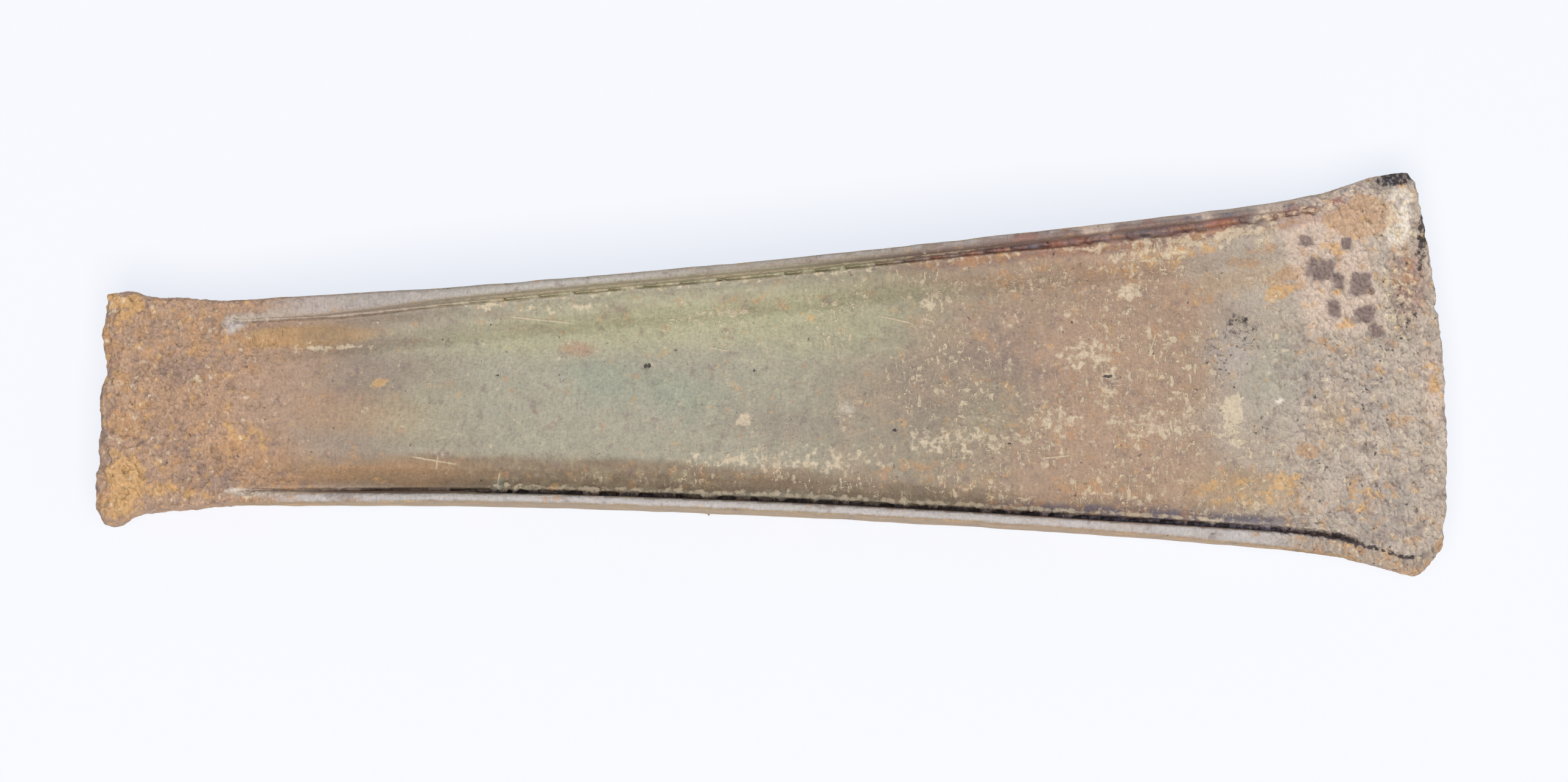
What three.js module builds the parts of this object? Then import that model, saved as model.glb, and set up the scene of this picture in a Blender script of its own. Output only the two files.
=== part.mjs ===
// A flanged bronze axe head, lying on the flanges of one face.
// Millimetres. +X runs from the butt to the cutting edge, +Y across the face, +Z up.
// The origin is the centre of the bounding box's underside, on the surface the head lies on.
import * as THREE from "three";
import { mergeVertices } from "three/addons/utils/BufferGeometryUtils.js";

// Driving dimensions
const LENGTH = 175; // butt to the middle of the cutting edge
const WAIST = 13.2; // half width just past the butt, where the head is narrowest
const BLADE = 25.8; // half width at the corners of the cutting edge
const WEB = 4.7; // half thickness of the plate between the flanges
const CREST = 9; // half thickness over the flange crests
const EDGE = 0.4; // half thickness of the blunt cutting edge

// Flanges: each runs along both sides of both faces, with a narrow groove at its inner foot
const RIM = 1.1; // width of the flange's crest strip at mid length
const GROOVE = 1; // width of the groove between the crest and the plate there
const GROOVE_DEPTH = 1.1; // depth of the groove's floor below the plate
const OVERHANG = 0.2; // how far the hammered crest leans in over the groove
const GUTTER = 5; // width of the hollow beside the groove
const GUTTER_DIP = 0.5; // depth of that hollow
const LIP = 0.5; // height of the lip between hollow and groove
const RIM_ROUND = 0.3; // rounding of the crest's two edges, no more than ROUND_SHARE of the plate
const ROUND_SHARE = 0.3;
const SIDE_CROWN = 0.2; // how far the side swells at mid thickness

// Sections of the hollow and the groove, outwards from the plate: [share of width, share of depth]
const GUTTER_SECTION = [
  [0, 0],
  [0.25, 0.7],
  [0.5, 1],
  [0.77, 0.3],
];
const GROOVE_SECTION = [
  [0.35, 0.75],
  [0.8, 1],
];

// Stations along the length where the form changes
const FLANGE_START = 17;
const LEVEL_START = 62; // the crests are straight and level from here
const LEVEL_END = 114; // to here, and the head lies on them
const FLANGE_END = 165;

// Butt: hammered and splayed at both corners, and not quite square to the length
const BUTT_LEAN = 0.075; // how far the butt leans back, as a share of the distance across
const BUTT_FADE = 14; // the lean is gone this far from the butt
const BUTT_ROUND = 1; // rounding of the butt's corners
const SPLAY = {
  left: { at: 3.5, reach: 0.95, length: 2.6 }, // each corner stands out from the sides
  right: { at: 2.2, reach: 1.8, length: 2.5 },
};

// Cutting edge: a shallow arc, its highest point off centre, one corner sharper than the other
const EDGE_ARC_RADIUS = 150;
const EDGE_ARC_CENTRE = -6;
const EDGE_ARC_START = 135; // the arc's bend begins to tell here
const CORNER_ROUND = { left: 1.3, right: 2.8 };
const TOE = { at: 170.5, reach: 0.35, length: 2 }; // the worn right corner stands out a little

// How finely the surface is divided
const STRETCHES = [
  { to: 3, steps: 3 },
  { to: FLANGE_START, steps: 8 },
  { to: 30, steps: 6 },
  { to: LEVEL_START, steps: 8 },
  { to: LEVEL_END, steps: 8 },
  { to: FLANGE_END, steps: 12 },
  { to: 171, steps: 4 },
  { to: LENGTH, steps: 5 },
];
const SIDE_STEPS = 4;

// A smooth curve through [station, value] pairs, flat beyond the first and the last
// and level wherever two neighbours are equal
function through(pairs) {
  const rise = (i) => (pairs[i + 1][1] - pairs[i][1]) / (pairs[i + 1][0] - pairs[i][0]);
  const slope = (i) => {
    if (i === 0 || i === pairs.length - 1) return rise(Math.max(0, i - 1));
    const [before, after] = [rise(i - 1), rise(i)];
    return before * after > 0 ? (2 * before * after) / (before + after) : 0;
  };
  return (s) => {
    if (s <= pairs[0][0]) return pairs[0][1];
    const i = pairs.findIndex((pair) => s < pair[0]) - 1;
    if (i < 0) return pairs[pairs.length - 1][1];
    const [[s0, v0], [s1, v1]] = [pairs[i], pairs[i + 1]];
    const span = s1 - s0;
    const t = (s - s0) / span;
    const startWeight = (1 + 2 * t) * (1 - t) ** 2;
    const bend = span * t * (1 - t) * ((1 - t) * slope(i) - t * slope(i + 1));
    return startWeight * v0 + (1 - startWeight) * v1 + bend;
  };
}

const outline = through([
  [0, WAIST + 0.6],
  [10, WAIST + 0.5],
  [18, WAIST],
  [24, WAIST + 0.2],
  [45, WAIST + 0.7],
  [80, WAIST + 2.6],
  [115, WAIST + 5.3],
  [145, BLADE - 4.3],
  [160, BLADE - 2.4],
  [170, BLADE],
  [LENGTH, BLADE + 0.3],
]);

const webHalfThickness = through([
  [0, WEB - 2],
  [1, WEB - 1.4],
  [3, WEB - 1],
  [FLANGE_START, WEB - 0.6],
  [LEVEL_START, WEB],
  [LEVEL_END, WEB],
  [135, WEB - 0.8],
  [155, WEB - 2.2],
  [168, WEB - 3.4],
  [LENGTH, EDGE],
]);

// The flanges rise out of the plate near the butt and run back into it before the cutting edge
const crestHalfThickness = through([
  [FLANGE_START, webHalfThickness(FLANGE_START)],
  [26, 5.2],
  [42, 7.6],
  [LEVEL_START, CREST],
  [LEVEL_END, CREST],
  [134, 7.5],
  [150, 4.5],
  [FLANGE_END, webHalfThickness(FLANGE_END)],
]);

// The hollow and the groove fade in and out with the flanges
const flangePresence = through([
  [FLANGE_START, 0],
  [21, 0.7],
  [28, 1],
  [150, 1],
  [160, 0.5],
  [FLANGE_END, 0],
]);

// Towards the cutting edge the crest strip leans outwards by this drop and becomes a bevel
const bevelDrop = through([
  [LEVEL_END, 0],
  [147, 0.45],
  [160, 0.4],
  [LENGTH, 0.1],
]);

// The left crest strip is broad where it starts, and both widen into the blade's bevels
const rimWidth = {
  left: through([
    [FLANGE_START, RIM + 1.1],
    [30, RIM + 1.2],
    [48, RIM + 0.3],
    [70, RIM],
    [145, RIM],
    [FLANGE_END, RIM + 0.5],
  ]),
  right: through([
    [45, RIM],
    [90, RIM + 0.1],
    [125, RIM + 0.2],
    [147, RIM + 0.7],
    [FLANGE_END, RIM + 1.3],
  ]),
};

// The left groove is faint towards the butt and widens before the blade; the right one is even
const grooveWidth = {
  left: through([
    [LEVEL_END, GROOVE],
    [140, GROOVE + 0.6],
    [FLANGE_END, GROOVE],
  ]),
  right: () => GROOVE,
};
const grooveShare = {
  left: through([
    [45, 0.3],
    [85, 1],
  ]),
  right: () => 1,
};

const swell = (s, { at, reach, length }) => reach * Math.exp(-(((s - at) / length) ** 2));

// How much a corner of this rounding takes off, at this distance from the end
function cornerLoss(fromEnd, round) {
  const into = Math.min(1, Math.max(0, 1 - fromEnd / round));
  return round * (1 - Math.sqrt(1 - into ** 2));
}

function halfWidth(s, side) {
  const toe = side === "right" ? swell(s, TOE) : 0;
  const corners = cornerLoss(s, BUTT_ROUND) + cornerLoss(LENGTH - s, CORNER_ROUND[side]);
  return outline(s) + swell(s, SPLAY[side]) + toe - corners;
}

// The half section at station s, from the middle of the face to the outer corner of the crest
function faceProfile(s, side) {
  const width = halfWidth(s, side);
  const rim = rimWidth[side](s);
  const groove = grooveWidth[side](s);
  const foot = width - rim - groove;
  const seat = foot - GUTTER;

  const web = webHalfThickness(s);
  const flanged = s > FLANGE_START && s < FLANGE_END;
  const crest = flanged ? crestHalfThickness(s) : web;
  const round = Math.min(RIM_ROUND, ROUND_SHARE * web);
  const presence = flangePresence(s);
  const dip = GUTTER_DIP * presence;
  const grooveDepth = GROOVE_DEPTH * grooveShare[side](s) * presence;
  const outerCrest = crest - bevelDrop(s);
  return [
    [0, web],
    [seat / 2, web],
    ...GUTTER_SECTION.map(([across, deep]) => [seat + GUTTER * across, web - dip * deep]),
    [foot, web + LIP * presence],
    ...GROOVE_SECTION.map(([across, deep]) => [foot + groove * across, web - grooveDepth * deep]),
    [width - rim - OVERHANG * presence, crest - round * presence],
    [width - rim + round / 2, crest],
    [width - round, outerCrest],
    [width - round / 3, outerCrest - round],
  ];
}
const FACE_STEPS = faceProfile(LEVEL_START, "left").length - 1;

function stations() {
  const all = [0];
  for (const { to, steps } of STRETCHES) {
    const from = all[all.length - 1];
    for (let i = 1; i <= steps; i += 1) all.push(from + ((to - from) * i) / steps);
  }
  return all;
}

// Where a point at station s and distance y from the middle lies along the length
function alongLength(s, y) {
  const lean = Math.max(0, 1 - s / BUTT_FADE) * (BUTT_LEAN * (y + outline(0)));
  const bend = Math.max(0, (s - EDGE_ARC_START) / (LENGTH - EDGE_ARC_START)) ** 2;
  const arc = (y - EDGE_ARC_CENTRE) ** 2 / (2 * EDGE_ARC_RADIUS);
  return s + lean - bend * arc;
}

// A finely divided box, whose every vertex is moved to its place on the axe head
function axeHeadGeometry() {
  const along = stations();
  const divisions = [along.length - 1, 2 * FACE_STEPS, SIDE_STEPS];
  const geometry = new THREE.BoxGeometry(2, 2, 2, ...divisions);
  const place = geometry.getAttribute("position");
  for (let i = 0; i < place.count; i += 1) {
    const s = along[Math.round(((place.getX(i) + 1) / 2) * divisions[0])];
    const across = place.getY(i);
    const level = place.getZ(i); // 1 on the upper face, -1 on the lower
    const side = across >= 0 ? "left" : "right";
    const profile = faceProfile(s, side);
    const [offset, height] = profile[Math.round(Math.abs(across) * FACE_STEPS)];
    const crown = Math.abs(across) === 1 ? SIDE_CROWN * (1 - level ** 2) : 0;
    const y = Math.sign(across) * (offset + crown);
    place.setXYZ(i, alongLength(s, y), y, level * height);
  }
  geometry.deleteAttribute("normal");
  geometry.deleteAttribute("uv");
  const closed = mergeVertices(geometry, 1e-4);
  closed.computeBoundingBox();
  const { min, max } = closed.boundingBox;
  closed.translate(-(min.x + max.x) / 2, -(min.y + max.y) / 2, -min.z);
  closed.computeVertexNormals();
  return closed;
}

const bronze = new THREE.MeshStandardMaterial({
  color: 0xa8967c,
  roughness: 0.55,
  metalness: 0.35,
});

const axeHead = new THREE.Mesh(axeHeadGeometry(), bronze);
axeHead.name = "axe_head";

const head = new THREE.Group();
head.add(axeHead);

export default head;
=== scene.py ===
"""A flanged bronze axe head with an old patina, lying on pale paper under soft light."""

import math

import bmesh
import bpy
import numpy as np
from mathutils import Matrix, Vector
from mathutils.bvhtree import BVHTree


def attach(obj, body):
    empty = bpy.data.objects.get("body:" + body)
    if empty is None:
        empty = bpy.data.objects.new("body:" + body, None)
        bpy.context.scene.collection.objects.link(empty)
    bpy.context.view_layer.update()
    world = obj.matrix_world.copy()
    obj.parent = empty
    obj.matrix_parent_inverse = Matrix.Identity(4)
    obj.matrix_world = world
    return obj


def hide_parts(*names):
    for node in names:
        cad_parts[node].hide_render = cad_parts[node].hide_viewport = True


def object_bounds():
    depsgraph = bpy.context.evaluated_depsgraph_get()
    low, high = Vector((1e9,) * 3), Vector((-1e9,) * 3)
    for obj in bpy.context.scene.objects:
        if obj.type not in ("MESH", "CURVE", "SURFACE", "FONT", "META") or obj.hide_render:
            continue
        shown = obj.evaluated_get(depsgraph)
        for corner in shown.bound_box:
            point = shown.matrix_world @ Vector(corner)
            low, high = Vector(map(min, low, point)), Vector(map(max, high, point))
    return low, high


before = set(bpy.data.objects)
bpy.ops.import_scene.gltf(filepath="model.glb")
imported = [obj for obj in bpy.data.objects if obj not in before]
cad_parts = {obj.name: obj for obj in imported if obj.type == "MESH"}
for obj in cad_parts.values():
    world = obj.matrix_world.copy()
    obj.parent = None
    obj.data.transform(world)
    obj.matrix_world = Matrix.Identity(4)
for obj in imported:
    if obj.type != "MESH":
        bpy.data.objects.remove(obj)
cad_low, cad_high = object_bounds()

bl_info = {
    "name": "Flanged axe head",
    "version": (1, 0, 0),
    "blender": (4, 5, 0),
    "location": "View3D > Sidebar > Axe Head",
    "description": "Builds a corroded bronze axe head and the table it lies on",
    "category": "Add Mesh",
}

NODE = "axe_head"
MM = 0.001
CORNERS = np.array([(x, y, z) for x in (0, 1) for y in (0, 1) for z in (0, 1)])
NEIGHBOURS = np.array([(x, y, z) for x in (-1, 0, 1) for y in (-1, 0, 1) for z in (-1, 0, 1)])

BUTT = cad_low.x
LENGTH = (cad_high.x - cad_low.x) / MM
MIDDLE = (cad_low.z + cad_high.z) / 2

# The flange as the solid has it: along the axe, then the width of the crest and of crest and groove
CREST_WIDTH = {
    1: ((17, 2.2), (30, 2.3), (48, 1.4), (70, 1.1), (145, 1.1), (165, 1.6)),
    -1: ((45, 1.1), (90, 1.2), (125, 1.3), (147, 1.8), (165, 2.4)),
}
GROOVE_WIDTH = {
    1: ((114, 1.0), (140, 1.6), (165, 1.0)),
    -1: ((17, 1.0), (165, 1.0)),
}
GROOVES = (18, 163)  # from where to where along the axe the grooves run
BLADE = (147, 160)  # over this stretch the plate's smooth skin turns into the blade's rough one
MIDDLE_STRIP = 1.5  # half the width of the strip down the middle where the plate's height is read
EDGE_HEIGHT = 0.5  # half the thickness at both ends, before any reading
OUTSIDE = 0.05  # metres from the middle to where a ray surely starts outside the axe head


def linear(code):
    """A colour from its six hex digits, in linear light."""
    channels = [int(code[i : i + 2], 16) / 255 for i in (0, 2, 4)]
    return tuple(c / 12.92 if c <= 0.04045 else ((c + 0.055) / 1.055) ** 2.4 for c in channels)


def colour(name, description, code):
    """A colour that the panel shows."""
    return bpy.props.FloatVectorProperty(
        name=name, description=description, subtype="COLOR", size=3, min=0, max=1, default=linear(code)
    )


def length(name, description, millimetres):
    """A length that the panel shows, in the scene's units."""
    return bpy.props.FloatProperty(
        name=name, description=description, unit="LENGTH", min=0, precision=5, default=millimetres * MM
    )


class AxeHeadSettings(bpy.types.PropertyGroup):
    """Sizes and colours of the axe head."""

    grain: length("Grain", "Size of the cubes that the surface is rebuilt from", 0.3)
    faces_above: bpy.props.IntProperty(
        name="Faces above", description="Triangles kept on the upper half", default=128000, min=1000
    )
    faces_below: bpy.props.IntProperty(
        name="Faces below", description="Triangles kept on the lower half", default=66000, min=1000
    )
    butt_relief: length("Butt relief", "Height of the lumps at the butt", 0.32)
    edge_relief: length("Edge relief", "Height of the grain near the cutting edge", 0.11)
    plate_relief: length("Plate relief", "Height of the faint waves on the plate", 0.1)
    side_relief: length("Side relief", "Depth of the hammer marks along the sides", 0.3)

    tan: colour("Tan", "Earthy skin at the butt", "b5957e")
    drab: colour("Drab", "Grey-brown skin past the butt", "a19182")
    sage: colour("Sage", "Grey-green skin of the plate", "aca593")
    olive: colour("Olive", "Brown-green skin past the middle", "a09380")
    rose: colour("Rose", "Pinkish brown skin before the blade", "b39680")
    grey: colour("Grey", "Grey skin where the blade begins", "b9aa9b")
    # Also laid as painted light in the grooves' shaded stretches.
    sand: colour("Sand", "Grey-tan skin near the edge", "c0b1a2")
    # Also laid in the left groove and on its wall, partly as the plate's own colour, partly as painted
    # light.
    straw: colour("Straw", "Pale yellow-green skin", "b9b593")
    verdigris: colour("Verdigris", "Blue-green tinge", "98a391")
    honey: colour("Honey", "Light brown lacquer in the hollow near the butt", "b8976f")
    umber: colour("Umber", "Dark brown polish in the hollow", "8e7862")
    rust: colour("Rust", "Orange-brown stains", "c4966a")
    ochre: colour("Ochre", "Yellow-orange crust", "d8ab72")
    plum: colour("Plum", "Purple-brown skin in the crust's gaps", "8b7772")
    # Painted shadow in the right groove and on the right flange's inner wall.
    groove_shade: colour("Wine", "Dark red-brown in the grooves", "6f5a53")
    brick: colour("Brick", "Red-brown grains near the left corner", "a9776a")
    shell: colour("Shell", "Pinkish flaking crust", "d6bfae")
    cream: colour("Cream", "Dried lime crust", "e2cfb2")
    # Whitest lime, and also a painted highlight where the right flange starts.
    chalk: colour("Chalk", "Whitest lime", "f1e4d6")
    # Black dirt in pits and cracks, and also the painted shadow in the right groove.
    soot: colour("Soot", "Black in pits and grooves", "3a3335")
    # Blue-grey stains on the blade, and also painted shadow in and beside the right groove.
    slate: colour("Slate", "Blue-grey in the groove towards the edge", "6d6a7c")
    # Rubbed metal of the crests, with a painted highlight and reflection over it.
    steel: colour("Bare crest", "Rubbed metal of the crests", "c5bdba")


class StageSettings(bpy.types.PropertyGroup):
    """The paper, the lights and the camera."""

    paper: colour("Paper", "Colour of the table", "f9fafe")
    # The glow is emission: painted light that keeps the shadows on the paper faint and bluish.
    glow: bpy.props.FloatVectorProperty(
        name="Glow",
        description="Share of the paper's red, green and blue light that comes from beneath",
        size=3,
        default=(0.67, 0.73, 0.81),
        min=0,
        max=1,
    )
    key_power: bpy.props.FloatProperty(
        name="Key light", description="Power of the large light overhead", default=9.5, min=0, unit="POWER"
    )
    sky: bpy.props.FloatProperty(
        name="Sky", description="Strength of the light from all round", default=0.35, min=0
    )
    distance: bpy.props.FloatProperty(
        name="Distance", description="From the camera to the axe head", default=0.75, min=0.2, unit="LENGTH"
    )
    tilt: bpy.props.FloatProperty(
        name="Tilt",
        description="How far the camera leans from straight above",
        default=math.radians(3.3),
        subtype="ANGLE",
    )
    turn: bpy.props.FloatProperty(
        name="Turn",
        description="How far the axe head is turned in the picture",
        default=math.radians(1.474),
        subtype="ANGLE",
    )


# ---------------------------------------------------------------------------
# The surface in figures: numpy arrays of millimetres along, across and up
# ---------------------------------------------------------------------------


def smooth(value, low, high):
    """0 below low, 1 above high, and an S between."""
    t = np.clip((value - low) / (high - low), 0, 1)
    return t * t * (3 - 2 * t)


def between(value, low, high, soft):
    """1 from low to high, fading out over soft on both sides."""
    return smooth(value, low - soft, low + soft) * (1 - smooth(value, high - soft, high + soft))


def lattice(cell, seed):
    """A number from 0 to 1 for each whole-numbered cell, always the same for the same seed."""
    mixed = (cell * (73856093, 19349663, 83492791)).sum(-1) + seed * 2654435761
    mixed = (mixed ^ (mixed >> 13)) * 1274126177
    mixed = (mixed ^ (mixed >> 16)) * 668265263
    return ((mixed ^ (mixed >> 15)) & 0xFFFFFF) / 0xFFFFFF


def waves(points, size, seed):
    """Smooth noise from about -1 to 1, whose lumps are size millimetres across."""
    place = points / size
    cell = np.floor(place).astype(np.int64)
    inside = place - cell
    weight = inside**3 * (inside * (inside * 6 - 15) + 10)
    total = np.zeros(len(points))
    for corner in CORNERS:
        pull = np.prod(np.where(corner, weight, 1 - weight), axis=-1)
        tilt = np.stack([lattice(cell + corner, seed + 31 * axis) for axis in (1, 2, 3)], -1) * 2 - 1
        total += pull * ((inside - corner) * tilt).sum(-1)
    return total * 1.7


def spots(points, size, seed):
    """0 at the middle of each scattered grain, rising to about 1 between them."""
    place = points / size
    cell = np.floor(place).astype(np.int64)
    nearest = np.full(len(points), np.inf)
    for neighbour in NEIGHBOURS:
        there = cell + neighbour
        grain = there + np.stack([lattice(there, seed + 17 * axis) for axis in (1, 2, 3)], -1)
        nearest = np.minimum(nearest, ((place - grain) ** 2).sum(-1))
    return np.sqrt(nearest)


def curve(along, pairs):
    """The value at each place along, from pairs of place and value."""
    places, values = zip(*pairs)
    return np.interp(along, places, values)


def vectors(items, name):
    """A row of three numbers for each item, such as the place of each vertex."""
    flat = np.zeros(len(items) * 3, np.float32)
    items.foreach_get(name, flat)
    return flat.reshape(-1, 3)


class Survey:
    """Where the vertices of a mesh are on the axe head."""

    def __init__(self, mesh):
        self.co = vectors(mesh.vertices, "co").astype(float)
        self.normal = vectors(mesh.vertex_normals, "vector").astype(float)
        self.place = (self.co - (BUTT, 0, MIDDLE)) / MM
        self.along, self.across, self.level = self.place.T
        self.height = np.abs(self.level)
        self.upper = (self.level > 0).astype(float)
        self.side = np.where(self.across >= 0, 1, -1)
        self._measure()

    def _measure(self):
        """The sides and the plate's height, measured at every millimetre of the length."""
        stops = np.arange(0, int(LENGTH) + 2)
        cell = np.clip(np.round(self.along).astype(int), 0, stops[-1])
        reach = np.zeros((2, len(stops)))
        for row, sign in enumerate((1, -1)):
            np.maximum.at(reach[row], cell, self.across * sign)
        middle = np.abs(self.across) < MIDDLE_STRIP
        plate = np.full(len(stops), EDGE_HEIGHT)
        for stop in stops[1:-1]:
            here = self.height[middle & (cell == stop)]
            plate[stop] = np.median(here) if len(here) else plate[stop - 1]
        self.width = self.by_side(*(np.interp(self.along, stops, row) for row in reach))
        self.inset = self.width - np.abs(self.across)
        self.plate = np.interp(self.along, stops, plate)
        self.crest = self.by_side(*(curve(self.along, CREST_WIDTH[sign]) for sign in (1, -1)))
        groove = self.by_side(*(curve(self.along, GROOVE_WIDTH[sign]) for sign in (1, -1)))
        self.foot = self.crest + groove

    def by_side(self, left, right):
        """One value on the left side and another on the right."""
        return np.where(self.side > 0, left, right)


# ---------------------------------------------------------------------------
# Crumbs of crust
# ---------------------------------------------------------------------------

# Groups of crumbs: how many lie on the upper face (the lower has half as many), where along the axe,
# then where across it, or on which side at the groove's foot and how widely spread, and size and flatness
CRUMBS = [
    {"seed": 1, "count": 46, "along": (2.2, 6.5), "across": (-13.5, -6), "size": (0.4, 1.0), "flat": 0.45},
    {"seed": 2, "count": 12, "along": (3.4, 6), "across": (11, 13.6), "size": (0.4, 0.8), "flat": 0.45},
    {"seed": 3, "count": 50, "along": (2.2, 4.5), "across": (-13, 13), "size": (0.25, 0.55), "flat": 0.5},
    {"seed": 4, "count": 90, "along": (2, 24), "across": (-13, 13), "size": (0.2, 0.5), "flat": 0.4},
    {"seed": 5, "count": 150, "along": (52, 126), "foot": (-1, 0.25), "size": (0.2, 0.5), "flat": 0.55},
    {"seed": 6, "count": 26, "along": (17, 52), "foot": (-1, 0.2), "size": (0.2, 0.4), "flat": 0.5},
    {"seed": 7, "count": 85, "along": (128, 150), "foot": (1, 0.5), "size": (0.25, 0.6), "flat": 0.5},
    {"seed": 8, "count": 60, "along": (48, 128), "foot": (1, 0.3), "size": (0.2, 0.4), "flat": 0.4},
    {"seed": 9, "count": 150, "along": (70, 155), "across": (-16, 15), "size": (0.16, 0.34), "flat": 0.3},
    {"seed": 10, "count": 60, "along": (112, 150), "across": (-14, 4), "size": (0.2, 0.5), "flat": 0.28},
    {"seed": 11, "count": 40, "along": (152, 172), "foot": (-1, 0.4), "size": (0.25, 0.5), "flat": 0.5},
    {"seed": 12, "count": 60, "along": (146, 166), "foot": (1, 0.8), "size": (0.25, 0.6), "flat": 0.45},
]
# Beads of crust lying in the grooves: side, where along the axe, how far apart, half width and half length
BEADS = [
    {"seed": 21, "side": -1, "along": (94, 118), "step": 2.5, "half": (0.75, 1.25)},
    {"seed": 22, "side": 1, "along": (126, 153), "step": 1.7, "half": (0.85, 1.0)},
]
BEAD_HEIGHT = 0.85
BELOW_SEED = 100  # added to a group's seed for its crumbs on the lower face


def ground(tree, along, across, face):
    """The point of the surface at that place of the upper face (1) or the lower one (-1)."""
    start = Vector((BUTT + along * MM, across * MM, MIDDLE + face * OUTSIDE))
    return tree.ray_cast(start, Vector((0, 0, -face)))[0]


def add_crumb(bm, spot, half, turn):
    """One flattened ball, turned about the upright axis."""
    matrix = Matrix.Translation(spot) @ Matrix.Rotation(turn, 4, "Z") @ Matrix.Diagonal((*half, 1))
    bmesh.ops.create_icosphere(bm, subdivisions=2, radius=MM, matrix=matrix)


def half_width(tree, along, side):
    """How far the side is from the middle line there, in millimetres."""
    start = Vector((BUTT + along * MM, side * OUTSIDE, MIDDLE))
    spot = tree.ray_cast(start, Vector((0, -side, 0)))[0]
    return abs(spot.y) / MM if spot else 0


def scatter(crumbs, group, tree, face):
    """Adds one group's crumbs to the mesh of crumbs, on the upper face (1) or the lower (-1)."""
    dice = np.random.default_rng(group["seed"] + (0 if face > 0 else BELOW_SEED))
    count = group["count"] if face > 0 else group["count"] // 2
    for _ in range(count):
        along = dice.uniform(*group["along"])
        if "foot" in group:
            side, spread = group["foot"]
            foot = curve(along, CREST_WIDTH[side]) + curve(along, GROOVE_WIDTH[side])
            across = side * (half_width(tree, along, side) - foot - dice.normal(0.1, spread))
        else:
            across = dice.uniform(*group["across"])
        size = dice.uniform(*group["size"])
        stretch = dice.uniform(0.75, 1.35)
        half = (size * stretch, size / stretch, size * group["flat"])
        turn = dice.uniform(0, math.pi)
        spot = ground(tree, along, across, face)
        if spot is not None:
            add_crumb(crumbs, spot, half, turn)


def string_beads(crumbs, row, tree):
    """Adds a row of beads lying in a groove of the upper face."""
    dice = np.random.default_rng(row["seed"])
    side = row["side"]
    along = row["along"][0]
    while along < row["along"][1]:
        crest = curve(along, CREST_WIDTH[side]) + 0.45 * curve(along, GROOVE_WIDTH[side])
        across = side * (half_width(tree, along, side) - crest - 0.05)
        spot = ground(tree, along, across, 1)
        wide, long = row["half"]
        half = (long * dice.uniform(0.7, 1.15), wide * dice.uniform(0.75, 1.05), BEAD_HEIGHT)
        if spot is not None:
            add_crumb(crumbs, spot, half, dice.normal(0, 0.25))
        along += row["step"] * dice.uniform(0.75, 1.3)


def mesh_from(bm, name):
    """A mesh with what the bmesh holds, which is then freed."""
    mesh = bpy.data.meshes.new(name)
    bm.to_mesh(mesh)
    bm.free()
    return mesh


def set_crumbs(bm, tree):
    """Sets the crumbs and beads of crust into the surface, group by group."""
    jobs = [(scatter, group, tree, face) for group in CRUMBS for face in (1, -1)]
    jobs += [(string_beads, row, tree) for row in BEADS]
    for job, *details in jobs:
        crumbs = bmesh.new()
        job(crumbs, *details)
        mesh = mesh_from(crumbs, "crumbs")
        bm.from_mesh(mesh)
        bpy.data.meshes.remove(mesh)


# ---------------------------------------------------------------------------
# Relief
# ---------------------------------------------------------------------------

# Depths and heights in millimetres
POCK = 0.13  # scattered pocks of the plate
BITE = 0.16  # the bitten patch before the blade
FLAKE = 0.16  # the crust that still lies near the left corner
WINDOW = 0.14  # the gaps in that crust
SOIL = 0.5  # the soil packed against a groove's wall
NOTCH = (0.2, 0.16)  # the coarse and the fine raggedness of the butt's end
WORN_BUTT = 0.1  # how far the butt's end is worn back all over
CHIP = 0.5  # the chips of the cutting edge
EDGE_GRAIN = 0.14  # its fine raggedness
LOOSE = (0.1, 0.16)  # what stands further off the cast surface than this is a crumb, and is left there
# Single pits in the upper face: along, across, radius, depth
PITS = [
    (71.7, 3.2, 0.45, 0.35),
    (52.5, 2.6, 0.35, 0.2),
    (130.7, 0.45, 0.28, 0.3),
    (131.3, 0.35, 0.26, 0.3),
    (148.7, 7.4, 0.6, 0.4),
    (85.5, 2.4, 0.3, 0.18),
    (103.5, -5.8, 0.35, 0.2),
    (118.0, -8.0, 0.3, 0.2),
]
# Gaps in the flaking crust: along, across, half length, half width
WINDOWS = [
    (159.4, 13.7, 2.1, 1.5),
    (161.3, 12.0, 0.9, 1.0),
    (164.4, 11.6, 1.4, 1.5),
    (164.6, 7.7, 1.3, 1.1),
    (160.6, 8.6, 0.8, 1.1),
    (162.6, 17.0, 0.8, 0.7),
    (157.2, 17.5, 0.9, 0.8),
    (166.2, 5.6, 1.0, 0.8),
]
# Places pulled out or pushed in, as with a soft thumb: along, across, radius, then how far along and across
GRABS = [
    (2.8, 14.4, 1.5, -0.75, 0.3),
    (172.8, -25.0, 2.2, -0.8, 0.35),
    (170.2, -26.6, 1.2, 0.0, -0.25),
]
# Hollows (+) and bumps (-) of the butt's end: across, half width, how far it reaches in
BUTT_NOTCHES = [
    (4.3, 1.9, 0.55),
    (9.3, 1.6, -0.4),
    (13.2, 1.0, 0.25),
    (0.2, 1.4, -0.15),
    (-3.2, 0.9, 0.22),
    (-7.4, 0.8, 0.2),
    (-10.6, 0.7, -0.12),
    (-14.2, 0.8, 0.3),
]


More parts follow.
